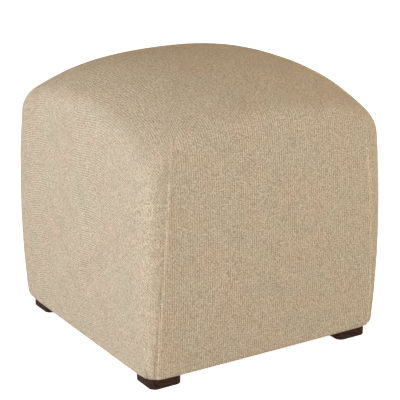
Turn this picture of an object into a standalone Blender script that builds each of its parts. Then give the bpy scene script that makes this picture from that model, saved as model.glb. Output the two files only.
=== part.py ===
"""Cube pouf stool: one filled cloth cover with a crowned top, standing on four low block feet.

Metres, +Z up. The origin is on the floor under the middle of the stool, and the front faces -Y.
"""

from math import copysign, hypot, pi, sin

import bmesh
import bpy
from mathutils import Vector

# The cover's body.
BASE_HALF = 0.225  # from the middle to the middle of a side, at the lower edge
UNDERSIDE = 0.019  # height of the flat underside
SHOULDER = 0.420  # height where the sides stop and the top begins
CROWN = 0.478  # height of the middle of the top
CROWN_FALL = 0.048  # how much lower the top is at the middle of each side
CROWN_POWER = 2.6  # 2 is an even dome, and more keeps the middle flatter
FRONT_CROWN_POWER = 2.1  # the front half falls away in a longer, straighter slope
SIDE_BULGE = 0.0068  # how far the sides stand out at half height
SIDE_SWELL = 0.0045  # how much further the middle of a side stands out than its corners
SWELL_AT_ENDS = 0.3  # share of that swell at the lower edge and at the shoulder
CORNER_LOW = 0.0212  # radius of the upright corners at the lower edge
CORNER_HIGH = 0.0370  # and at the shoulder, where the filling is softer
CORNER_POWER = 1.5  # how late on the way up the corners widen
TOP_EDGE = 0.0205  # radius of the edge between the sides and the top
LOWER_EDGE = 0.0080  # radius of the edge where the cloth turns under

# The four corner seams. Each starts in the corner and leans on to the front or back going up.
SEAM_SET_IN = 0.0095  # from the outer corner to the seam, at the lower edge
SEAM_LEAN = 0.0360  # how much further in the seam's upper end lies
SEAM_TOP = 0.385  # height where the seam fades out
SEAM_FADE = 0.050  # height over which it fades
SEAM_DEPTH = 0.0020

# The feet.
FOOT_SIDE = 0.0575
FOOT_PLACE = 0.1847  # from the middle of the stool to the middle of a foot, along X and Y
FOOT_CORNER = 0.0115  # radius of the upright corners
FOOT_ARRIS = 0.0012  # rounding of the edges round the sole and the top
SHARP_ANGLE = 0.6  # radians between faces past which an edge is shaded sharp
JOINT_GAP = 0.0004  # between a foot and the underside

# The cage that the cover is shaped from.
CAGE_CELLS = 12  # along each edge of the cube
CAGE_HALF = 0.235  # the cube's half width, just outside the cover
CAGE_LOW = 0.012  # the heights between which its lines are spaced
CAGE_HIGH = 0.436
MIDDLE = Vector((0.0, 0.0, 0.220))  # where the lines through the cage's points start
REACH = 0.5  # further than any point of the cover is from MIDDLE
HALVINGS = 30  # steps in finding the cover along such a line
SETTLING_STEPS = 6  # rounds in which the cage is drawn out, until the smoothed cover has its size


def share_of_height(z):
    """0 at the underside and 1 at the shoulder."""
    return min(max((z - UNDERSIDE) / (SHOULDER - UNDERSIDE), 0.0), 1.0)


def crown_height(x, y):
    """Height of the top's dome over a point of the plan."""
    power = FRONT_CROWN_POWER if y < 0 else CROWN_POWER
    across = (abs(x) / BASE_HALF) ** CROWN_POWER
    along = (abs(y) / BASE_HALF) ** power
    return CROWN - CROWN_FALL * (across + along)


def rounded(past_one, past_other, radius):
    """Joins two distances that are negative inside, with a round edge where they meet."""
    one = max(radius + past_one, 0.0)
    other = max(radius + past_other, 0.0)
    if one == 0.0 and other == 0.0:
        return max(past_one, past_other)
    return hypot(one, other) - radius


def outside(point):
    """How far a point lies outside the cover. It is negative inside."""
    x, y, z = abs(point.x), abs(point.y), point.z
    up = share_of_height(z)
    half = BASE_HALF + SIDE_BULGE * 4 * up * (1 - up)
    swell = SIDE_SWELL * (SWELL_AT_ENDS + (1 - SWELL_AT_ENDS) * sin(pi * up))
    past_side = x - half - swell * (1 - min(y / half, 1.0) ** 2)
    past_front = y - half - swell * (1 - min(x / half, 1.0) ** 2)
    corner = CORNER_LOW + (CORNER_HIGH - CORNER_LOW) * up**CORNER_POWER
    past_walls = rounded(past_side, past_front, corner)
    past_top = z - crown_height(point.x, point.y)
    past_shoulder = rounded(past_walls, past_top, TOP_EDGE)
    return rounded(past_shoulder, UNDERSIDE - z, LOWER_EDGE)


def on_cover(guide):
    """The point where the line from MIDDLE through guide leaves the cover."""
    way = (guide - MIDDLE).normalized()
    near, far = 0.0, REACH
    for _ in range(HALVINGS):
        half = (near + far) / 2
        if outside(MIDDLE + way * half) > 0:
            far = half
        else:
            near = half
    return MIDDLE + way * near


def crowded_to_edges(share):
    """Spaces the cage's lines, from -1 to 1, closer together near the edges."""
    return copysign(sin(abs(share) * pi / 2), share)


def seam_place(z):
    """How far from the middle line the seam crosses the front, at that height."""
    up = min(max((z - UNDERSIDE) / (SEAM_TOP - UNDERSIDE), 0.0), 1.0)
    return CAGE_HALF - SEAM_SET_IN - SEAM_LEAN * up


def round_the_walls(across, along, z):
    """The plan point of the cage's wall for a point on the cube's outline.

    The front and back run from seam to seam. Each side runs on round both of its corners.
    """
    seam = seam_place(z)
    if abs(along) >= abs(across):
        return across * seam, copysign(CAGE_HALF, along)
    run = along * (2 * CAGE_HALF - seam)
    past_corner = max(abs(run) - CAGE_HALF, 0.0)
    return copysign(CAGE_HALF - past_corner, across), copysign(min(abs(run), CAGE_HALF), run)


def guide_point(corner):
    """Moves a point of the cube that runs from -1 to 1 on to the guide cage."""
    z = CAGE_LOW + (CAGE_HIGH - CAGE_LOW) * (crowded_to_edges(corner.z) + 1) / 2
    ring = max(abs(corner.x), abs(corner.y))
    if ring == 0.0:
        return Vector((0.0, 0.0, z))
    across = crowded_to_edges(corner.x / ring)
    along = crowded_to_edges(corner.y / ring)
    x, y = round_the_walls(across, along, z)
    spread = crowded_to_edges(ring)
    return Vector((x * spread, y * spread, z))


def seam_depth(z):
    """How deep the sewn seam draws the cloth in, at that height."""
    return SEAM_DEPTH * min(max((SEAM_TOP - z) / SEAM_FADE, 0.0), 1.0)


def is_on_seam(corner):
    """True for the cube's four upright edges, which become the seams."""
    return abs(corner.x) == 1.0 and abs(corner.y) == 1.0


def cloth_place(corner):
    """Where the finished cloth lies for a point of the cube that runs from -1 to 1."""
    place = on_cover(guide_point(corner))
    if is_on_seam(corner):
        inward = Vector((-place.x, -place.y, 0.0)).normalized()
        place += inward * seam_depth(place.z)
    return place


def subdivided_place(vertex):
    """Where one round of subdivision puts a point of the cage."""
    count = len(vertex.link_edges)
    faces = sum((face.calc_center_median() for face in vertex.link_faces), Vector()) / count
    ends = sum((edge.other_vert(vertex).co for edge in vertex.link_edges), Vector()) / count
    edges = (vertex.co + ends) / 2
    return (faces + 2 * edges + (count - 3) * vertex.co) / count


def cover_cage():
    """The coarse cage of the cover: a cube, cut into cells and drawn on to the cover's form.

    Subdivision pulls a cage in, so its points are moved out until the smoothed cloth is in place.
    """
    cage = bmesh.new()
    bmesh.ops.create_cube(cage, size=2.0)
    bmesh.ops.subdivide_edges(cage, edges=cage.edges, cuts=CAGE_CELLS - 1, use_grid_fill=True)
    cloth = [cloth_place(vertex.co) for vertex in cage.verts]
    for vertex, place in zip(cage.verts, cloth):
        vertex.co = place
    for _ in range(SETTLING_STEPS):
        short = [place - subdivided_place(vertex) for vertex, place in zip(cage.verts, cloth)]
        for vertex, gap in zip(cage.verts, short):
            vertex.co += gap
    mesh = bpy.data.meshes.new("cover")
    cage.to_mesh(mesh)
    cage.free()
    mesh.shade_smooth()
    return mesh


def is_upright(edge):
    """True for an edge that runs up and down."""
    low, high = sorted(vertex.co.z for vertex in edge.verts)
    return high - low > FOOT_ARRIS


def foot_block():
    """One foot, standing on its origin: a square block with rounded upright corners."""
    height = UNDERSIDE - JOINT_GAP
    block = bmesh.new()
    bmesh.ops.create_cube(block, size=1.0)
    bmesh.ops.scale(block, vec=(FOOT_SIDE, FOOT_SIDE, height), verts=block.verts)
    bmesh.ops.translate(block, vec=(0.0, 0.0, height / 2), verts=block.verts)
    upright = [edge for edge in block.edges if is_upright(edge)]
    bmesh.ops.bevel(block, geom=upright, offset=FOOT_CORNER, segments=6, profile=0.5, affect="EDGES")
    level = [edge for edge in block.edges if not is_upright(edge)]
    bmesh.ops.bevel(block, geom=level, offset=FOOT_ARRIS, segments=2, profile=0.5, affect="EDGES")
    mesh = bpy.data.meshes.new("foot")
    block.to_mesh(mesh)
    block.free()
    mesh.shade_smooth()
    mesh.set_sharp_from_angle(angle=SHARP_ANGLE)
    return mesh


def finish(name, colour, roughness):
    """A plain Principled material."""
    material = bpy.data.materials.new(name)
    material.use_nodes = True
    shader = material.node_tree.nodes["Principled BSDF"]
    shader.inputs["Base Color"].default_value = (*colour, 1.0)
    shader.inputs["Roughness"].default_value = roughness
    shader.inputs["Metallic"].default_value = 0.0
    return material


def add(collection, name, mesh, place, material):
    """Puts a mesh in the collection as a named object."""
    piece = bpy.data.objects.new(name, mesh)
    piece.location = place
    if not mesh.materials:
        mesh.materials.append(material)
    collection.objects.link(piece)
    return piece


def build():
    """Makes the stool in a collection of its own."""
    for old in list(bpy.data.objects):
        bpy.data.objects.remove(old)
    stool = bpy.data.collections.new("cube_pouf_stool")
    bpy.context.scene.collection.children.link(stool)

    cloth = finish("linen_cloth", (0.52, 0.42, 0.29), 0.9)
    cover = add(stool, "cover", cover_cage(), (0.0, 0.0, 0.0), cloth)
    soften = cover.modifiers.new("soften", "SUBSURF")
    soften.levels = 1
    soften.render_levels = 1

    wood = finish("dark_wood", (0.022, 0.011, 0.008), 0.45)
    block = foot_block()
    for row, along in (("front", -FOOT_PLACE), ("back", FOOT_PLACE)):
        for side, across in (("left", -FOOT_PLACE), ("right", FOOT_PLACE)):
            add(stool, f"foot_{row}_{side}", block, (across, along, 0.0), wood)


build()
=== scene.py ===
# %% [markdown]
# # A cube pouf stool in linen cloth
#
# The real stool is a light box padded all over, with a crowned pad on top. One cross-shaped cut of cloth
# is pulled over it, its four corners are sewn shut and its edges are turned under. Four low blocks of
# dark wood carry it. This file dresses the measured solid model of that stool: it reads the model as a
# fixed frame and makes the cloth, the seams, the pleats and the wood around it.

from math import cos, pi, radians, sin

import bpy
import numpy as np
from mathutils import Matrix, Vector


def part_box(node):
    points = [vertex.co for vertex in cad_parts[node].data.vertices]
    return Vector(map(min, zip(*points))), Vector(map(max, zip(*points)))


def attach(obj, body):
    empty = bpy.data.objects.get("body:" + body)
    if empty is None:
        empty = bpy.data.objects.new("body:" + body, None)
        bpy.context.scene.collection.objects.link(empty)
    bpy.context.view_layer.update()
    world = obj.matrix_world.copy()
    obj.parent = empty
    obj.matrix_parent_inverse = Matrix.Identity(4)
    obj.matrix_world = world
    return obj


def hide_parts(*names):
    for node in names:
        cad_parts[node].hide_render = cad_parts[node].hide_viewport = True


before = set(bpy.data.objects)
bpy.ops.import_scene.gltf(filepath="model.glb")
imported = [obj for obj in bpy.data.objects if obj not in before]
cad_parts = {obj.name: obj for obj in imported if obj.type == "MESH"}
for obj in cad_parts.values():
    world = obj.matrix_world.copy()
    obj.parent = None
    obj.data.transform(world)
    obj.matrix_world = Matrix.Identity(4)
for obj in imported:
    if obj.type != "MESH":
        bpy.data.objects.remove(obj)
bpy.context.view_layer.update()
cover_low, cover_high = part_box("cover")

# %% [markdown]
# ## Camera
#
# A low stool is shown best from a little above and from the side, so that the front, one side and the
# crown all show. A long lens keeps the upright edges nearly parallel. The camera is placed by the angle
# round the stool, the height above the horizon and the distance, because these three can be judged by
# eye.

# %% Camera
CAMERA_AZIMUTH = radians(-31.9)  # to the left of the front
CAMERA_ELEVATION = radians(19.05)
CAMERA_DISTANCE = 2.726
CAMERA_LENS = 142.3  # mm, on a sensor 36 mm wide
AIM = Vector((0.0066, -0.0041, 0.2213))  # the point that the camera and the lamps face


def direction(azimuth, elevation):
    """The way out from the stool at an angle round it, counted from the front, and above the floor."""
    level = cos(elevation)
    return Vector((sin(azimuth) * level, -cos(azimuth) * level, sin(elevation)))


lens = bpy.data.cameras.new("camera")
lens.lens = CAMERA_LENS
camera = bpy.data.objects.new("camera", lens)
camera.location = AIM + direction(CAMERA_AZIMUTH, CAMERA_ELEVATION) * CAMERA_DISTANCE
camera.rotation_euler = (AIM - camera.location).to_track_quat("-Z", "Y").to_euler()
bpy.context.scene.collection.objects.link(camera)
bpy.context.scene.camera = camera
print("the camera stands", round(camera.location.length, 2), "m from the stool's foot")

# %% [markdown]
# ## Floor and light
#
# A stool for a catalogue stands on a white sheet between large soft lamps. The floor here is one pale
# plane that also glows a little, as such a sheet does when it is lit from below, so that it stays white.
# The lamps are squares of light as big as windows: the larger a lamp, the softer its shadows. A table
# with one row for each lamp says where it stands and how strong it is.

# %% Floor
FLOOR_SIZE = 60.0  # so wide that its far edge never shows
FLOOR_COLOUR = (0.85, 0.85, 0.84, 1.0)
FLOOR_ROUGHNESS = 0.9
GLOW_COLOUR = (1.0, 1.0, 1.0, 1.0)
FLOOR_GLOW = 0.8

bpy.ops.mesh.primitive_plane_add(size=FLOOR_SIZE)
floor = bpy.context.object
floor.name = "floor"
pale = bpy.data.materials.new("pale_floor")
pale.use_nodes = True
pale_shader = pale.node_tree.nodes["Principled BSDF"]
pale_shader.inputs["Base Color"].default_value = FLOOR_COLOUR
pale_shader.inputs["Roughness"].default_value = FLOOR_ROUGHNESS
pale_shader.inputs["Emission Color"].default_value = GLOW_COLOUR
pale_shader.inputs["Emission Strength"].default_value = FLOOR_GLOW
floor.data.materials.append(pale)
floor.visible_diffuse = False  # the glow whitens the sheet without lighting the stool
floor.visible_glossy = False
print("the floor is a sheet", FLOOR_SIZE, "m wide")

# %% Lamps
LAMP_DISTANCE = 3.0
LAMP_SIZE = 2.2  # metres along each side of the square
LAMPS = (
    # name, degrees round the stool, degrees above the floor, strength, tint
    ("left", -90.0, 8.0, 99.0, (0.87, 1.0, 1.22)),
    ("left_high", -90.0, 30.0, 10.0, (1.0, 1.0, 1.0)),
    ("front", 0.0, 8.0, 62.0, (0.95, 1.0, 1.08)),
    ("right", 90.0, 8.0, 52.0, (1.04, 1.0, 0.93)),
)
SKY_TINT = (1.08, 0.92, 0.70, 1.0)  # a little warm light from all round, as from a room's walls
SKY_STRENGTH = 0.38


def hang_lamp(name, azimuth, elevation, strength, tint):
    """Hangs a square lamp that faces the middle of the stool."""
    light = bpy.data.lights.new(name, "AREA")
    light.size = LAMP_SIZE
    light.energy = strength
    light.color = tint
    lamp = bpy.data.objects.new(name, light)
    way = direction(radians(azimuth), radians(elevation))
    lamp.location = AIM + way * LAMP_DISTANCE
    lamp.rotation_euler = (-way).to_track_quat("-Z", "Y").to_euler()
    bpy.context.scene.collection.objects.link(lamp)
    return lamp


lamps = [hang_lamp("lamp_" + name, *numbers) for name, *numbers in LAMPS]
sky = bpy.data.worlds.new("studio")
sky.use_nodes = True
sky.node_tree.nodes["Background"].inputs["Color"].default_value = SKY_TINT
sky.node_tree.nodes["Background"].inputs["Strength"].default_value = SKY_STRENGTH
bpy.context.scene.world = sky
bpy.context.scene.view_settings.view_transform = "Standard"
print(len(lamps), "lamps")

# %% [markdown]
# ## The form of the cover
#
# The cloth follows the padding: flat sides that swell a little, upright corners that get rounder towards
# the top, and a crown that falls away to soft shoulders. It could be modelled by pushing points about by
# hand, but a form with named sizes is easier to correct. So the form is written as one rule that says how
# far any point lies outside the cloth. Two surfaces are joined by rounding the edge between them.

# %% Sizes of the cover
SIDE_BULGE = 0.0068  # how far the sides stand out at half height
SIDE_SWELL = 0.0045  # how much further the middle of a side stands out than its corners
SWELL_AT_ENDS = 0.3  # share of that swell at the lower edge and at the shoulder
CORNER_LOW = 0.0212  # radius of the upright corners at the lower edge
CORNER_HIGH = 0.0370  # and at the shoulder
CORNER_POWER = 1.5  # how late on the way up the corners widen
TOP_EDGE = 0.0205  # radius of the edge between the sides and the top
LOWER_EDGE = 0.0080  # radius of the edge where the cloth turns under
LOWER_CORNER = 0.0200  # and at its corners, which the folded cloth draws in
CORNER_STARTS = 0.82  # share of the half width, along both sides, from which that counts
CROWN_FALL = 0.048  # from the middle of the top to the middle of its sides
CROWN_POWER = 2.6  # 2 is an even dome, and more keeps the middle flatter
FRONT_CROWN_POWER = 2.1  # the front half falls away in a longer, straighter slope
# From the middle to the middle of a side, at the lower edge.
BASE_HALF = (cover_high.x - cover_low.x) / 2 - SIDE_BULGE - SIDE_SWELL
UNDERSIDE = cover_low.z
CROWN = cover_high.z
SHOULDER = 0.42  # height where the sides stop and the top begins


def share_of_height(z):
    """0 at the underside and 1 at the shoulder."""
    return np.clip((z - UNDERSIDE) / (SHOULDER - UNDERSIDE), 0, 1)


def rounded(past_one, past_other, radius):
    """Joins two distances that are negative inside, with a round edge where they meet."""
    one = np.maximum(radius + past_one, 0)
    other = np.maximum(radius + past_other, 0)
    near_edge = (one > 0) | (other > 0)
    return np.where(near_edge, np.hypot(one, other) - radius, np.maximum(past_one, past_other))


def outside(points):
    """How far each point lies outside the cloth, in metres. It is negative inside."""
    x, y, z = np.abs(points[:, 0]), np.abs(points[:, 1]), points[:, 2]
    up = share_of_height(z)
    half = BASE_HALF + SIDE_BULGE * 4 * up * (1 - up)
    swell = SIDE_SWELL * (SWELL_AT_ENDS + (1 - SWELL_AT_ENDS) * np.sin(pi * up))
    past_side = x - half - swell * (1 - np.minimum(y / half, 1) ** 2)
    past_front = y - half - swell * (1 - np.minimum(x / half, 1) ** 2)
    corner = CORNER_LOW + (CORNER_HIGH - CORNER_LOW) * up**CORNER_POWER
    past_walls = rounded(past_side, past_front, corner)
    power = np.where(points[:, 1] < 0, FRONT_CROWN_POWER, CROWN_POWER)
    fall = (x / BASE_HALF) ** CROWN_POWER + (y / BASE_HALF) ** power
    past_top = z - CROWN + CROWN_FALL * fall
    past_start = (np.minimum(x, y) / BASE_HALF - CORNER_STARTS) / (1 - CORNER_STARTS)
    near_corner = np.clip(past_start, 0, 1) ** 2
    lower_edge = LOWER_EDGE + (LOWER_CORNER - LOWER_EDGE) * near_corner
    return rounded(rounded(past_walls, past_top, TOP_EDGE), UNDERSIDE - z, lower_edge)


print("the cover is about", round(2000 * BASE_HALF), "mm wide at its lower edge")
print("its crown rises", round(1000 * (CROWN - SHOULDER)), "mm above the shoulder")

# %% [markdown]
# ## A net of squares
#
# Cloth is woven in squares, so the mesh is one too: a cube cut into squares. A ball would also close
# round the padding, but it has no corners. The cube's four upright edges become the seams, and its faces
# become the top, the four walls and the underside. Every point keeps its place on the cube, so that later
# steps can tell which wall it belongs to.

# %% Net
CELLS = 60  # squares along each edge of the cube


def cube_net():
    """A cube from -1 to 1 as a mesh of squares."""
    bpy.ops.mesh.primitive_cube_add(size=2.0)
    cube = bpy.context.object
    bpy.ops.object.mode_set(mode="EDIT")
    bpy.ops.mesh.subdivide(number_cuts=CELLS - 1)
    bpy.ops.object.mode_set(mode="OBJECT")
    return cube


def read_points(mesh, what="co"):
    """The mesh's points, or their normals, as rows of x, y and z."""
    flat = np.empty(len(mesh.vertices) * 3)
    mesh.vertices.foreach_get(what, flat)
    return flat.reshape(-1, 3)


cover = cube_net()
cover.name = cover.data.name = "linen_cover"
corners = read_points(cover.data)
net_place = cover.data.attributes.new("net_place", "FLOAT_VECTOR", "POINT")
net_place.data.foreach_set("vector", corners.ravel())
print("the net has", len(cover.data.polygons), "squares")

# %% [markdown]
# ## The net drawn on to the form
#
# The net's points are first laid out as a plain block, and are then moved along lines from the middle
# until they meet the form. The seams start in the corners and lean on to the front and back, because the
# cloth was trimmed narrower there. Even squares would be simpler, but they are made smaller near the
# edges, where the seams and the roundings need them.

# %% Net on the form
CROWDING = 0.75  # 0 spaces the net evenly, and 1 crowds it hard to the edges
NET_HALF = 0.235  # half width of the net before it meets the form, just outside the cloth
NET_LOW = 0.012  # the heights between which its lines are spaced
NET_HIGH = 0.436
MIDDLE = np.array((0.0, 0.0, 0.22))  # where the lines through the net's points start
REACH = 0.5  # further than any point of the cloth is from MIDDLE
HALVINGS = 26  # steps in finding the cloth along such a line
SEAM_SET_IN = 0.0095  # from the outer corner to the seam, at the lower edge
SEAM_LEAN = 0.036  # how much further in the seam's upper end lies
SEAM_TOP = 0.385  # height where the seam fades out
TINY = 1e-9  # keeps a length of zero from being divided by


def crowded(share):
    """Spaces the net's lines, from -1 to 1, closer together near the edges."""
    return (1 - CROWDING) * share + CROWDING * np.sin(share * pi / 2)


def seam_place(z):
    """How far from the middle line a seam crosses the front, at that height."""
    up = np.clip((z - UNDERSIDE) / (SEAM_TOP - UNDERSIDE), 0, 1)
    return NET_HALF - SEAM_SET_IN - SEAM_LEAN * up


def guides(corners):
    """Where the net lies before it is drawn on to the form."""
    ring = np.maximum(np.abs(corners[:, 0]), np.abs(corners[:, 1]))
    across = crowded(corners[:, 0] / np.maximum(ring, TINY))
    along = crowded(corners[:, 1] / np.maximum(ring, TINY))
    z = NET_LOW + (NET_HIGH - NET_LOW) * (crowded(corners[:, 2]) + 1) / 2
    seam = seam_place(z)
    run = along * (2 * NET_HALF - seam)
    past_corner = np.maximum(np.abs(run) - NET_HALF, 0)
    on_front = np.abs(along) >= np.abs(across)
    x = np.where(on_front, across * seam, np.copysign(NET_HALF - past_corner, across))
    y = np.where(on_front, np.copysign(NET_HALF, along), np.clip(run, -NET_HALF, NET_HALF))
    spread = crowded(ring)
    return np.stack((x * spread, y * spread, z), axis=1)


def on_form(guide):
    """Where the lines from MIDDLE through the guides leave the form."""
    way = guide - MIDDLE
    way /= np.linalg.norm(way, axis=1)[:, None]
    near = np.zeros(len(way))
    far = np.full(len(way), REACH)
    for _ in range(HALVINGS):
        half = (near + far) / 2
        out = outside(MIDDLE + way * half[:, None]) > 0
        far = np.where(out, half, far)
        near = np.where(out, near, half)
    return MIDDLE + way * near[:, None]


def move_points(mesh, places):
    """Puts the mesh's points in these places."""
    mesh.vertices.foreach_set("co", np.ascontiguousarray(places).ravel())
    mesh.update()


move_points(cover.data, on_form(guides(corners)))
cover.data.shade_smooth()
drawn = read_points(cover.data)
ends = drawn[[list(edge.vertices) for edge in cover.data.edges]]
sides = 1000 * np.linalg.norm(ends[:, 0] - ends[:, 1], axis=1)
print("its squares measure", round(sides.min(), 1), "to", round(sides.max(), 1), "mm along a side")

# %% [markdown]
# ## Filling the cover
#
# Firm padding presses the cloth out between the places where it is sewn or stapled. The fullness could be
# added by hand, but Blender's cloth simulation gives its natural unevenness. The cloth starts a little
# inside the form and is blown up by pressure, with gravity off. The seams and the underside are held
# fast. The staples' hold weakens over the first centimetre above the lower edge, so that no crease forms
# there. Everywhere else weak springs stand for the padding that the cloth lies on. No point may move
# further than the padding would let it, and the result is kept as plain points, so no simulation stays
# behind.

# %% Filling
START_INSIDE = 0.0012  # how far inside the form the cloth starts
PRESSURE = 4.0
THREAD_STIFFNESS = 40.0  # along the threads
SLANT_STIFFNESS = THREAD_STIFFNESS / 3  # cloth gives way most along its diagonals
FOLD_STIFFNESS = 1.0
PADDING_HOLD = 0.2  # share of a point that the padding's springs hold
STAPLES_REACH = 0.012  # the hold of the underside's staples weakens over this height
FILLING_FRAMES = 20
CLOSE = 1e-4  # a point this near a face of the cube lies on it


def how_held(corners, height):
    """How firmly each point is held: 1 on the four seams and on the underside, and less elsewhere."""
    on_face = np.abs(corners) > 1 - CLOSE
    fast = (on_face[:, 0] & on_face[:, 1]) | (corners[:, 2] < -1 + CLOSE)
    above_staples = np.clip((height - UNDERSIDE) / STAPLES_REACH, 0, 1)
    return np.where(fast, 1.0, 1 - (1 - PADDING_HOLD) * above_staples)


def fill_with_pressure(pad, hold):
    """Blows the cloth up and returns where its points come to rest."""
    sewn = pad.vertex_groups.new(name="sewn")
    for point, share in enumerate(hold.tolist()):
        sewn.add([point], share, "REPLACE")
    blower = pad.modifiers.new("filling", "CLOTH")
    settings = blower.settings
    settings.tension_stiffness = THREAD_STIFFNESS
    settings.compression_stiffness = THREAD_STIFFNESS
    settings.shear_stiffness = SLANT_STIFFNESS
    settings.bending_stiffness = FOLD_STIFFNESS
    settings.use_pressure = True
    settings.uniform_pressure_force = PRESSURE
    settings.effector_weights.gravity = 0
    settings.vertex_group_mass = sewn.name
    blower.point_cache.frame_start = 1
    blower.point_cache.frame_end = FILLING_FRAMES
    for moment in range(1, FILLING_FRAMES + 1):
        bpy.context.scene.frame_set(moment)
    filled = pad.evaluated_get(bpy.context.evaluated_depsgraph_get())
    places = read_points(filled.data)
    pad.modifiers.remove(blower)
    pad.vertex_groups.remove(sewn)
    bpy.context.scene.frame_set(1)
    return places


hold = how_held(corners, read_points(cover.data)[:, 2])
print(int((hold == 1).sum()), "of the", len(hold), "points are held fast")

# %% Filled cloth
MOST_MOVED = 0.004  # from where the cloth starts
MOST_PROUD = 0.0008  # outside the form


def capped(moves, most):
    """Shortens the moves that are longer than the most allowed."""
    lengths = np.linalg.norm(moves, axis=1)
    return moves * np.minimum(1, most / np.maximum(lengths, TINY))[:, None]


tight = read_points(cover.data)
outward = read_points(cover.data, "normal")
start = tight - outward * (START_INSIDE * (1 - hold) / (1 - PADDING_HOLD))[:, None]
move_points(cover.data, start)
filled = start + capped(fill_with_pressure(cover, hold) - start, MOST_MOVED)
proud = np.maximum(outside(filled) - MOST_PROUD, 0)
filled -= outward * proud[:, None]
move_points(cover.data, filled)
swell = 1000 * np.sum((filled - tight) * outward, axis=1)
print("the filling moved the cloth by", round(swell.min(), 1), "to", round(swell.max(), 1), "mm")

# %% [markdown]
# ## Smoothing the cloth
#
# Cloth over padding curves evenly, without the flats of a coarse net. The net could have these small
# squares from the start, but the simulation would then take far longer. So each square is split once into
# four, and the points are evened out on the way. Every new point also gets its own place on the cube,
# which later steps use.

# %% Smoothing
smoothing = cover.modifiers.new("smoothing", "SUBSURF")
smoothing.levels = smoothing.render_levels = 1
smooth = cover.evaluated_get(bpy.context.evaluated_depsgraph_get())
cover.data = bpy.data.meshes.new_from_object(smooth)
cover.modifiers.remove(smoothing)
cloth = cover.data
cloth.name = "linen_cover"
flat_corners = np.empty(len(cloth.vertices) * 3)
cloth.attributes["net_place"].data.foreach_get("vector", flat_corners)
corners = flat_corners.reshape(-1, 3)
cloth.attributes.remove(cloth.attributes["net_place"])
FINE = 2 * CELLS  # squares along each edge of the cube, after the split
steps = np.rint((corners + 1) * FINE / 2).astype(int)
print("the smoothed cloth has", len(cloth.polygons), "squares")

# %% [markdown]
# ## Where the threads run
#
# Threads in a cut of cloth run straight, also over a rounded edge. A pattern laid on by height and width
# would stretch there, so every point is given two lengths measured along the cloth itself. The cut is a
# cross: the top in the middle and a wall on each side of it. The first length runs across the stool, the
# second from front to back, and both start in the middle of the top. They are kept as a UV map in metres.

# %% Lengths along the cloth
X, Y, Z = range(3)


def face_grid(axis, side):
    """The numbers of the points on one face of the cube. Rows run along its last axis."""
    on_face = np.flatnonzero(np.abs(corners[:, axis] - side) < CLOSE)
    column, row = np.delete(steps[on_face], axis, axis=1).T
    grid = np.empty((FINE + 1, FINE + 1), int)
    grid[row, column] = on_face
    return grid


def lengths_along(rows):
    """Length from the first point of each row to its every point."""
    spans = np.linalg.norm(np.diff(rows, axis=1), axis=2)
    return np.concatenate((np.zeros((len(rows), 1)), np.cumsum(spans, axis=1)), axis=1)


def lengths_from_middle(rows):
    """Length from the middle of each row, negative before it."""
    lengths = lengths_along(rows)
    return lengths - lengths[:, FINE // 2][:, None]


places = read_points(cloth)
thread_place = {}  # for each face of the cube, two lengths for every point on it
top = face_grid(Z, 1)
top_across = lengths_from_middle(places[top])
top_along = lengths_from_middle(places[top.T]).T
thread_place[Z, 1] = top, top_across, top_along
under = face_grid(Z, -1)
thread_place[Z, -1] = under, places[under][:, :, X], places[under][:, :, Y]
for side in (-1, 1):
    edge = 0 if side < 0 else FINE
    wall = face_grid(Y, side)
    down = lengths_along(places[wall[::-1].T])[:, ::-1].T
    thread_place[Y, side] = wall, lengths_from_middle(places[wall]), top_along[edge] + side * down
    wall = face_grid(X, side)
    down = lengths_along(places[wall[::-1].T])[:, ::-1].T
    thread_place[X, side] = wall, top_across[:, edge] + side * down, lengths_from_middle(places[wall])
to_edge = abs(thread_place[Y, -1][2].min())
print("from the middle of the top to the front's lower edge:", round(to_edge, 3), "m")

# %% [markdown]
# ## The thread map
#
# A seam is where two different pieces of the weave meet, so a point on it has two places in the cut, one
# for each side. Lengths kept on the points could hold only one of them. A UV map holds one for every
# corner of every square, so each square takes its lengths from the face of the cube that it belongs to.

# %% Thread map
loop_points = np.empty(len(cloth.loops), int)
cloth.loops.foreach_get("vertex_index", loop_points)
middles = corners[loop_points].reshape(-1, 4, 3).mean(axis=1)
face_axis = np.abs(middles).argmax(axis=1)
face_side = np.sign(middles[np.arange(len(middles)), face_axis]).astype(int)
threads = np.zeros((len(loop_points), 2))
for (axis, side), (grid, across, along) in thread_place.items():
    lengths = np.zeros((len(corners), 2))
    lengths[grid, 0] = across
    lengths[grid, 1] = along
    here = np.repeat((face_axis == axis) & (face_side == side), 4)
    threads[here] = lengths[loop_points[here]]
while cloth.uv_layers:
    cloth.uv_layers.remove(cloth.uv_layers[0])
cloth.uv_layers.new(name="threads").data.foreach_set("uv", threads.ravel())
print("thread lengths run from", threads.min(axis=0).round(3), "to", threads.max(axis=0).round(3), "m")

# %% [markdown]
# ## The four corner seams
#
# Each seam joins the front or back wall of the cut to a side wall, with a single line of stitches on the
# inside. The turned-in edges lie under the front or back wall. They hold the seam proud of both walls,
# raise a low lip beside it and leave a groove along the stitches. The mesh could be cut into separate
# walls there, but one closed skin with a groove and a lip shows the same light and stays whole. The seam
# changes on its way up, so a table with one row for each height says how it lies there.

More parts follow.
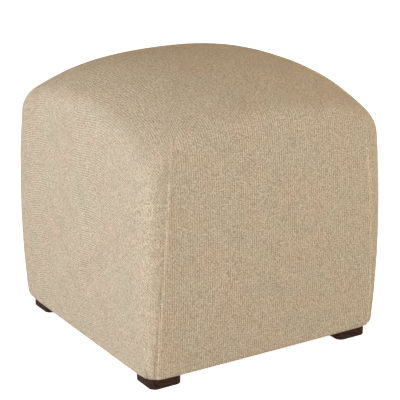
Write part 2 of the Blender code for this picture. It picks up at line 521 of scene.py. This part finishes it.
# %% Distance from the seams
seam_distance = np.full(len(corners), 1.0)  # positive on the front and back, negative on the sides
for (axis, side), (grid, across, along) in thread_place.items():
    if axis == Z:
        continue
    run = across if axis == Y else along
    distance = np.minimum(run - run[:, [0]], run[:, [-1]] - run)
    seam_distance[grid] = distance if axis == Y else -distance
from_middle = steps[under][:, :, :Z] - CELLS
ring = np.abs(from_middle).max(axis=2, keepdims=True)
at_edge = CELLS + np.rint(from_middle / np.maximum(ring, 1) * CELLS).astype(int)
seam_distance[under] = seam_distance[under[at_edge[:, :, Y], at_edge[:, :, X]]]
height = places[:, Z]
beside_seam = np.abs(seam_distance[seam_distance != 0]).min()
print("the squares beside a seam are from", round(1000 * beside_seam, 2), "mm wide")

# %% Seams
SEAM = (
    # height, groove: place and depth, lip: place and height, how far the seam stands out.
    # Places are counted from the seam: positive on the front or back, negative on the side.
    (0.050, 0.0002, 0.0013, 0.0062, 0.0006, 0.0002),
    (0.180, 0.0008, 0.0009, 0.0056, 0.0008, 0.0014),
    (0.240, 0.0005, 0.0007, 0.0043, 0.0012, 0.0018),
    (0.340, -0.0015, 0.0005, 0.0008, 0.0010, 0.0020),
)
GROOVE_WIDTH = 0.0019
LIP_WIDTH = 0.0023
LIP_UNEVEN = 0.35  # how much the stitches press the lip down and let it up
STAND_ON_SIDE = 0.012  # how far the raised cloth reaches on to the side wall
STAND_ON_FRONT = 0.040  # and on to the front or back wall
SEAM_FADE = 0.06  # height over which the seam fades, below SEAM_TOP
PUCKER_STEP = 0.011  # from one pull of the stitches to the next
SLOW_STEP = 1.7 * PUCKER_STEP  # a second, slower unevenness keeps the pulls from looking regular
SLOW_SHARE = 0.6
PUCKER = 0.0002
PUCKER_WIDTH = 0.006


def hump(distance, width):
    """A round rise: 1 in the middle and about a third at its width."""
    return np.exp(-((distance / width) ** 2))


def ramp(value, low, high):
    """Goes smoothly from 0 at low to 1 at high."""
    share = np.clip((value - low) / (high - low), 0, 1)
    return share * share * (3 - 2 * share)


heights, *columns = zip(*SEAM)
groove_place, groove_depth, lip_place, lip_height, stand = (
    np.interp(height, heights, column) for column in columns
)
fading = 1 - ramp(height, SEAM_TOP - SEAM_FADE, SEAM_TOP)
lip = hump(seam_distance - lip_place, LIP_WIDTH)
reach = np.where(seam_distance > 0, STAND_ON_FRONT, STAND_ON_SIDE)
slow_pull = np.sin(2 * pi * height / SLOW_STEP)
stitch_pull = np.sin(2 * pi * height / PUCKER_STEP) + SLOW_SHARE * slow_pull
lip *= 1 + LIP_UNEVEN * stitch_pull
relief = stand * np.exp(-np.abs(seam_distance) / reach) + lip_height * lip
relief -= groove_depth * hump(seam_distance - groove_place, GROOVE_WIDTH)
relief += PUCKER * stitch_pull * hump(seam_distance, PUCKER_WIDTH)
relief *= fading
print("the seams stand out up to", round(1000 * relief.max(), 1), "mm")

# %% [markdown]
# ## Pleats at the lower corners
#
# Under the stool the cloth is folded round the corner and stapled, as a parcel is. The fold shows on the
# side wall, beside each seam, as a low rise and two short creases that run down into the lower edge. They
# could come from a simulation of the folding, but then nobody could say where they end up. A table with
# one row for each crease or rise says where it starts and ends.

# %% Pleats
PLEATS = (
    # from the seam at its upper end, at its lower end, upper height, depth, width.
    # A negative depth is a rise.
    (-0.0172, -0.0142, 0.043, 0.0017, 0.0023),
    (-0.0090, -0.0080, 0.044, -0.0008, 0.0032),
    (-0.0310, -0.0260, 0.036, 0.0005, 0.0030),
)
PLEAT_FOOT = 0.020  # height of their lower ends
PLEAT_FADE = 0.014  # height over which they fade at their upper ends
PLEAT_END = 0.005  # seams and pleats flatten over this height, on their way to the underside
for start, end, top_height, depth, width in PLEATS:
    down = np.clip((top_height - height) / (top_height - PLEAT_FOOT), 0, 1)
    line = start + (end - start) * down
    strength = 1 - ramp(height, top_height - PLEAT_FADE, top_height)
    relief -= depth * strength * hump(seam_distance - line, width)
relief *= ramp(height, UNDERSIDE, UNDERSIDE + PLEAT_END)
print("each lower corner has", len(PLEATS), "creases and rises beside its seam")

# %% [markdown]
# ## Slight unevenness
#
# Padding is never perfectly even, and light that skims over the cloth shows it. Random bumps would look
# like dents, so a few long, shallow waves in different directions are used. Each row of the table gives
# one wave's lengths along X, Y and Z and where it starts.

# %% Unevenness
WAVE_HEIGHT = 0.00007
WAVE_FADE = 0.02  # the waves grow to their height over this distance above the underside
WAVES = (
    # metres for one wave along x, y and z, start
    (0.110, 0.170, 0.140, 0.3),
    (-0.075, 0.120, 0.095, 1.9),
    (0.140, -0.085, 0.062, 4.1),
    (0.058, 0.071, -0.110, 5.2),
)
for x_length, y_length, z_length, start in WAVES:
    turns = places[:, X] / x_length + places[:, Y] / y_length + places[:, Z] / z_length
    wave = WAVE_HEIGHT * np.sin(2 * pi * turns + start)
    relief += wave * ramp(height, UNDERSIDE, UNDERSIDE + WAVE_FADE)
move_points(cloth, places + read_points(cloth, "normal") * relief[:, None])
cloth.shade_smooth()
deepest, highest = 1000 * relief.min(), 1000 * relief.max()
print("the cloth's relief goes from", round(deepest, 1), "to", round(highest, 1), "mm")

# %% [markdown]
# ## Rubbed lips with painted highlight, and painted shade in hollows
#
# The lip of a seam is rubbed first and grows lighter. It also catches the light, so its lighter colour is
# partly wear and partly a painted highlight. Little light gets down into a groove or a crease, so these
# are darkened in the colour as painted shade. Both could be painted by hand. Here they follow from the
# relief itself, so they always lie in the right places. Each is kept on the cloth's points as an amount
# that the colour of the cloth reads later.

# %% Rubbed lips, painted highlight and painted shade
SHADED_DEPTH = 0.0014  # a hollow this deep gets the full painted shade
# seam lips grow lighter: partly wear, partly a painted highlight where they catch the light
rubbed_and_highlit = lip * fading
shaded = np.clip(-relief / SHADED_DEPTH, 0, 1)
for name, amounts in (("rubbed_and_highlit", rubbed_and_highlit), ("shaded", shaded)):
    cloth.attributes.new(name, "FLOAT", "POINT").data.foreach_set("value", amounts)
print("rubbed on", int((rubbed_and_highlit > 0.5).sum()), "points, shaded on", int((shaded > 0.5).sum()))

# %% [markdown]
# ## Linen cloth
#
# The cover is a plain weave: each thread goes over one and under the next, in both directions. Linen is
# spun unevenly, so every thread is lighter or darker for a few millimetres at a time, and some have thick
# places, called slubs. A picture of cloth would need an image file. Here nodes count the threads from the
# thread map, choose which one lies on top at each crossing, and give each its own tone and roundness.

# %% Node helpers
def wire(tree, source, target):
    """Connects a node's first output, or a given output, to an input."""
    tree.links.new(source.outputs[0] if hasattr(source, "outputs") else source, target)


def place_node(tree, kind, settings, *inputs):
    """Adds a node. Inputs are numbers or other nodes, in the node's own order, and None skips one."""
    node = tree.nodes.new(kind)
    for setting, value in settings.items():
        setattr(node, setting, value)
    for socket, value in zip(node.inputs, inputs):
        if value is None:
            continue
        if isinstance(value, (int, float, tuple)):
            socket.default_value = value
        else:
            wire(tree, value, socket)
    return node


def sum_node(tree, operation, *inputs):
    """Adds a Math node."""
    return place_node(tree, "ShaderNodeMath", {"operation": operation}, *inputs)


def spread(tree, amount, contrast, middle=0.5):
    """Spreads an amount that lies round a half, and sets its middle."""
    return sum_node(tree, "MULTIPLY_ADD", amount, contrast, middle - contrast / 2)


def blend_node(tree, share, one, other):
    """Adds a node that goes from one number to another by a share."""
    return place_node(tree, "ShaderNodeMix", {"data_type": "FLOAT"}, share, None, one, other)


# %% Threads
THREAD_PITCH = 0.00102  # from one thread to the next
YARN_THREADS = 2.0  # threads that lie side by side and share their tone
TONE_LENGTHS = (0.0042, 0.003)  # how far along a thread its tone lasts, in warp and weft
SPECK_SHARE = 0.33  # how much of the tone changes from crossing to crossing
STRIPES = (0.38, 0.08)  # between one yarn and the next, in warp and weft
STRIPE_ZONE = 0.03  # the stripes come and go over this length
YARN_CONTRASTS = (1.2, 0.45)  # of the tone along a yarn, in warp and weft
STAND_OUT = 0.6  # how much a yarn differs from the next one, rather than from them all
NEIGHBOUR_SHIFT = 7.31  # puts neighbouring yarns in unlike parts of the noise
WEFT_SEED = 311.7  # and puts the weft far from the warp
SPUN_NOISE = (1.0, 2.0, 0.6)  # scale, detail and roughness
SOFT_NOISE = (1.0, 0.5)  # detail and roughness

linen = bpy.data.materials.new("linen")
linen.use_nodes = True
tree = linen.node_tree
thread_map = place_node(tree, "ShaderNodeUVMap", {"uv_map": "threads"})
plan = place_node(tree, "ShaderNodeSeparateXYZ", {}, thread_map)
counts = [sum_node(tree, "DIVIDE", plan.outputs[axis], THREAD_PITCH) for axis in (X, Y)]
numbers = [sum_node(tree, "FLOOR", count) for count in counts]
within = [sum_node(tree, "FRACT", count) for count in counts]
arches = [sum_node(tree, "SINE", sum_node(tree, "MULTIPLY", share, pi)) for share in within]
on_top = sum_node(tree, "FLOORED_MODULO", sum_node(tree, "ADD", *numbers), 2.0)
yarns = [sum_node(tree, "FLOOR", sum_node(tree, "DIVIDE", number, YARN_THREADS)) for number in numbers]
zones = place_node(
    tree, "ShaderNodeTexNoise", {"noise_dimensions": "2D"}, thread_map, None, 1 / STRIPE_ZONE, *SOFT_NOISE
)
stripe_strength = sum_node(tree, "MULTIPLY", zones, 2.0)  # the noise lies round a half, and this round 1


def spun_noise(yarn, length, tone_length, seed):
    """How light one yarn is along its length."""
    beside = sum_node(tree, "MULTIPLY_ADD", yarn, NEIGHBOUR_SHIFT, seed)
    ahead = sum_node(tree, "DIVIDE", length, tone_length)
    spot = place_node(tree, "ShaderNodeCombineXYZ", {}, beside, ahead, 0.0)
    return place_node(tree, "ShaderNodeTexNoise", {"noise_dimensions": "2D"}, spot, None, *SPUN_NOISE)


def thread_tone(axis, seed):
    """The tone of warp or weft: each yarn's own, set off against the yarn beside it."""
    yarn, length = yarns[axis], plan.outputs[1 - axis]
    own = spun_noise(yarn, length, TONE_LENGTHS[axis], seed)
    next_one = spun_noise(sum_node(tree, "ADD", yarn, 1.0), length, TONE_LENGTHS[axis], seed)
    beside = sum_node(tree, "SUBTRACT", next_one, 0.5)
    apart = sum_node(tree, "MULTIPLY_ADD", beside, -STAND_OUT, own)
    spun = spread(tree, apart, YARN_CONTRASTS[axis])
    odd = sum_node(tree, "FLOORED_MODULO", yarn, 2.0)
    striped = spread(tree, odd, STRIPES[axis], 0.0)
    return sum_node(tree, "MULTIPLY_ADD", striped, stripe_strength, spun)


warp_tone = thread_tone(X, 0.0)
weft_tone = thread_tone(Y, WEFT_SEED)
crossing = place_node(tree, "ShaderNodeCombineXYZ", {}, yarns[X], numbers[Y], 0.0)
speck = place_node(tree, "ShaderNodeTexWhiteNoise", {"noise_dimensions": "2D"}, crossing)
tone = blend_node(tree, SPECK_SHARE, blend_node(tree, on_top, warp_tone, weft_tone), speck)
print("a thread every", 1000 * THREAD_PITCH, "mm")

# %% [markdown]
# ## The colour of the linen
#
# Natural linen is a sand beige, and no two yarns have quite the same one. The tone of each yarn chooses a
# colour between a dark and a light one. Over a few centimetres the cloth also drifts a little lighter or
# darker, and warmer or cooler. A single even colour would look like plastic.

# %% Linen colour
DARK_YARN = (0.270, 0.201, 0.121, 1.0)
LIGHT_YARN = (0.747, 0.623, 0.460, 1.0)
TONE_CONTRAST = 1.95  # spreads the tones over the whole way from dark to light
MOTTLE_SIZE = 0.035
MOTTLE_CONTRAST = 0.03
# lighter seam lips: partly wear, partly painted highlight
WEAR_AND_HIGHLIGHT_LIGHTER = 0.18
# painted shade in grooves and creases
SHADED_DARKER = 0.35
HUE_SIZE = 0.05
HUE_CONTRAST = 2.5
DRIFT_NOISE = (2.0, 0.5)  # detail and roughness
WARM = (1.025, 0.988, 0.985, 1.0)
COOL = (0.976, 1.009, 1.0, 1.0)


def colour_blend(tree, way, share, one, other):
    """Adds a node that mixes or multiplies two colours. It gives back the colour socket."""
    node = tree.nodes.new("ShaderNodeMix")
    node.data_type = "RGBA"
    node.blend_type = way
    colours = [socket for socket in node.inputs if socket.type == "RGBA"]
    for socket, value in zip((node.inputs["Factor"], *colours), (share, one, other)):
        if isinstance(value, (float, tuple)):
            socket.default_value = value
        else:
            wire(tree, value, socket)
    return next(socket for socket in node.outputs if socket.type == "RGBA")


def object_noise(tree, size):
    """Soft noise whose patches have this size in metres."""
    place = place_node(tree, "ShaderNodeTexCoord", {}).outputs["Object"]
    return place_node(tree, "ShaderNodeTexNoise", {}, place, None, 1 / size, *DRIFT_NOISE)


def lit_by(tree, name, change):
    """Lighter or darker where an amount kept on the cloth's points is high."""
    amount = place_node(tree, "ShaderNodeAttribute", {"attribute_name": name}).outputs["Fac"]
    return sum_node(tree, "MULTIPLY_ADD", amount, change, 1.0)


mottle = spread(tree, object_noise(tree, MOTTLE_SIZE), MOTTLE_CONTRAST, 1.0)
# the seam lips' lighter colour is partly wear and partly painted highlight
worn_and_highlit = lit_by(tree, "rubbed_and_highlit", WEAR_AND_HIGHLIGHT_LIGHTER)
# painted shade in grooves and creases
darker = lit_by(tree, "shaded", -SHADED_DARKER)
wear_highlight_and_shade = sum_node(tree, "MULTIPLY", worn_and_highlit, darker)
yarn_tone = spread(tree, tone, TONE_CONTRAST)
yarn_tone.use_clamp = True
yarn_colour = colour_blend(tree, "MIX", yarn_tone, DARK_YARN, LIGHT_YARN)
patchy = colour_blend(tree, "MULTIPLY", 1.0, yarn_colour, sum_node(tree, "MULTIPLY", mottle, wear_highlight_and_shade))
warmth = spread(tree, object_noise(tree, HUE_SIZE), HUE_CONTRAST)
warmth.use_clamp = True
hue = colour_blend(tree, "MIX", warmth, COOL, WARM)
linen_shader = tree.nodes["Principled BSDF"]
wire(tree, colour_blend(tree, "MULTIPLY", 1.0, patchy, hue), linen_shader.inputs["Base Color"])
print("the linen's colour is made by", len(tree.nodes), "nodes")

# %% [markdown]
# ## The relief of the weave
#
# Each thread arches over the one it crosses, and a slub lifts a few threads together. The cover has
# nearly a million crossings, so threads made as a mesh would be far too heavy for one piece. A bump gives
# the same play of light at this size. It uses the same counts as the tones, so every arch lies on its own
# thread.

# %% Linen relief
THREAD_HEIGHT = 0.00022
SLUB_HEIGHT = 0.0011
SLUB_WIDTH = 0.0032
SLUB_LENGTH = 0.010
ROUND_ACROSS = 0.8  # lower is flatter on top and steeper at the edge
ROUND_ALONG = 0.35


def arch_over(along, across):
    """The round back of a thread where it passes over another."""
    back = sum_node(tree, "POWER", across, ROUND_ACROSS)
    rise = sum_node(tree, "POWER", along, ROUND_ALONG)
    return sum_node(tree, "MULTIPLY", back, rise)


weave = blend_node(tree, on_top, arch_over(arches[Y], arches[X]), arch_over(arches[X], arches[Y]))
slub_sizes = place_node(tree, "ShaderNodeCombineXYZ", {}, 1 / SLUB_WIDTH, 1 / SLUB_LENGTH, 1.0)
slub_place = place_node(tree, "ShaderNodeVectorMath", {"operation": "MULTIPLY"}, thread_map, slub_sizes)
slubs = place_node(
    tree, "ShaderNodeTexNoise", {"noise_dimensions": "2D"}, slub_place, None, 1.0, *SOFT_NOISE
)
slub_height = sum_node(tree, "MULTIPLY", slubs, SLUB_HEIGHT)
cloth_height = sum_node(tree, "MULTIPLY_ADD", weave, THREAD_HEIGHT, slub_height)
bump = place_node(tree, "ShaderNodeBump", {})
bump.inputs["Distance"].default_value = 1.0  # the heights are in metres already
wire(tree, cloth_height, bump.inputs["Height"])
wire(tree, bump, linen_shader.inputs["Normal"])
print("threads stand", 1000 * THREAD_HEIGHT, "mm high")

# %% [markdown]
# ## The surface of the linen
#
# Linen is matt, and its loose fibres catch the light where the cloth curves away. The fibres could be
# grown as hair, which would be slow and would hardly show. A faint, warm sheen does the same. The
# finished cover then takes the place of the plain solid.

# %% Linen surface
LINEN_SURFACE = {
    "Roughness": 0.9,
    "Specular IOR Level": 0.05,
    "Sheen Weight": 0.14,
    "Sheen Tint": (1.0, 0.70, 0.38, 1.0),
    "Sheen Roughness": 0.6,
}
for quality, value in LINEN_SURFACE.items():
    linen_shader.inputs[quality].default_value = value
cloth.materials.clear()
cloth.materials.append(linen)
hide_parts("cover")
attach(cover, "root")
print("the cover wears", cloth.materials[0].name)

# %% [markdown]
# ## Feet
#
# The four feet are low blocks of hardwood, stained so dark that the grain hardly shows, under a satin
# lacquer. They could be made again here, but the solid model already has their shape, with rounded
# upright corners and a fine arris. So those blocks stay and only get their finish: long streaks of grain
# and a slightly uneven gloss.

# %% Wood finish
STAIN_DARK = (0.0040, 0.0022, 0.0014, 1.0)
STAIN_LIGHT = (0.070, 0.026, 0.0150, 1.0)
STAIN_STARTS = 0.35  # the grain's darkest and lightest amounts
STAIN_ENDS = 0.7
GRAIN_SCALE = (60.0, 380.0, 380.0)  # streaks in a metre, fewest along the grain
GRAIN_NOISE = (1.0, 3.0, 0.6)  # scale, detail and roughness
GRAIN_DEPTH = 0.00005
SMOOTHEST = 0.35  # roughness of the lacquer, and how much more the grain adds
GRAIN_ROUGHER = 0.25
WOOD_SPECULAR = 0.2

wood = bpy.data.materials.new("dark_wood")
wood.use_nodes = True
grain_tree = wood.node_tree
wood_shader = grain_tree.nodes["Principled BSDF"]
wood_place = place_node(grain_tree, "ShaderNodeTexCoord", {})
along_grain = place_node(grain_tree, "ShaderNodeMapping", {}, wood_place.outputs["Object"])
along_grain.inputs["Scale"].default_value = GRAIN_SCALE
grain = place_node(grain_tree, "ShaderNodeTexNoise", {}, along_grain, None, *GRAIN_NOISE)
stain = grain_tree.nodes.new("ShaderNodeValToRGB")
darkest, lightest = stain.color_ramp.elements
darkest.position, darkest.color = STAIN_STARTS, STAIN_DARK
lightest.position, lightest.color = STAIN_ENDS, STAIN_LIGHT
wire(grain_tree, grain, stain.inputs["Fac"])
wire(grain_tree, stain, wood_shader.inputs["Base Color"])
gloss = sum_node(grain_tree, "MULTIPLY_ADD", grain, GRAIN_ROUGHER, SMOOTHEST)
wire(grain_tree, gloss, wood_shader.inputs["Roughness"])
wood_shader.inputs["Specular IOR Level"].default_value = WOOD_SPECULAR
wood_bump = place_node(grain_tree, "ShaderNodeBump", {})
wood_bump.inputs["Distance"].default_value = GRAIN_DEPTH
wire(grain_tree, grain, wood_bump.inputs["Height"])
wire(grain_tree, wood_bump, wood_shader.inputs["Normal"])
feet = [node for name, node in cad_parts.items() if name.startswith("foot")]
for foot in feet:
    foot.data.materials.clear()
    foot.data.materials.append(wood)
print(len(feet), "feet wear", wood.name)
